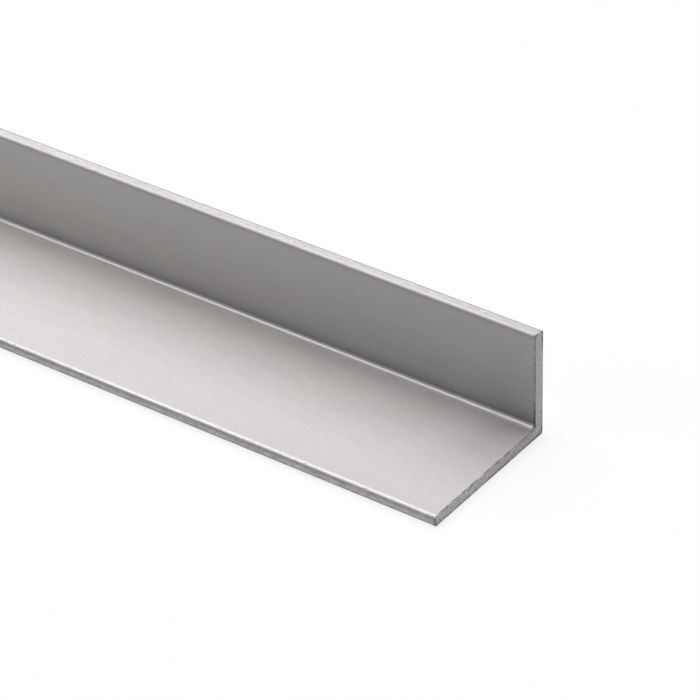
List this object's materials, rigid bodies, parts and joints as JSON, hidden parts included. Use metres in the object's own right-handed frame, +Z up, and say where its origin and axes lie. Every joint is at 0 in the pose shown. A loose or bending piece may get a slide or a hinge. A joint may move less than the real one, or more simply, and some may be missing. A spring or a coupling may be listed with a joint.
{
  "type": "aluminium angle profile",
  "caption": "Unequal-leg aluminium angle bar with a filleted inside corner, lightly rounded edges and sawn ends, for edging, framing and bracing.",
  "frame": {"origin": "middle of the bar's underside, which is the lying leg's outer face: half way along the bar and half way across the lying leg", "axes": "+X along the bar, +Y across the lying leg from its toe to the heel, +Z up along the standing leg"},
  "size_m": [1, 0.03, 0.02],
  "materials": {
    "aluminium": "satin, clear anodised, with faint lengthwise extrusion lines and bare sawn ends"
  },
  "bodies": {
    "root": {"angle_profile": "aluminium"}
  },
  "joints": []
}
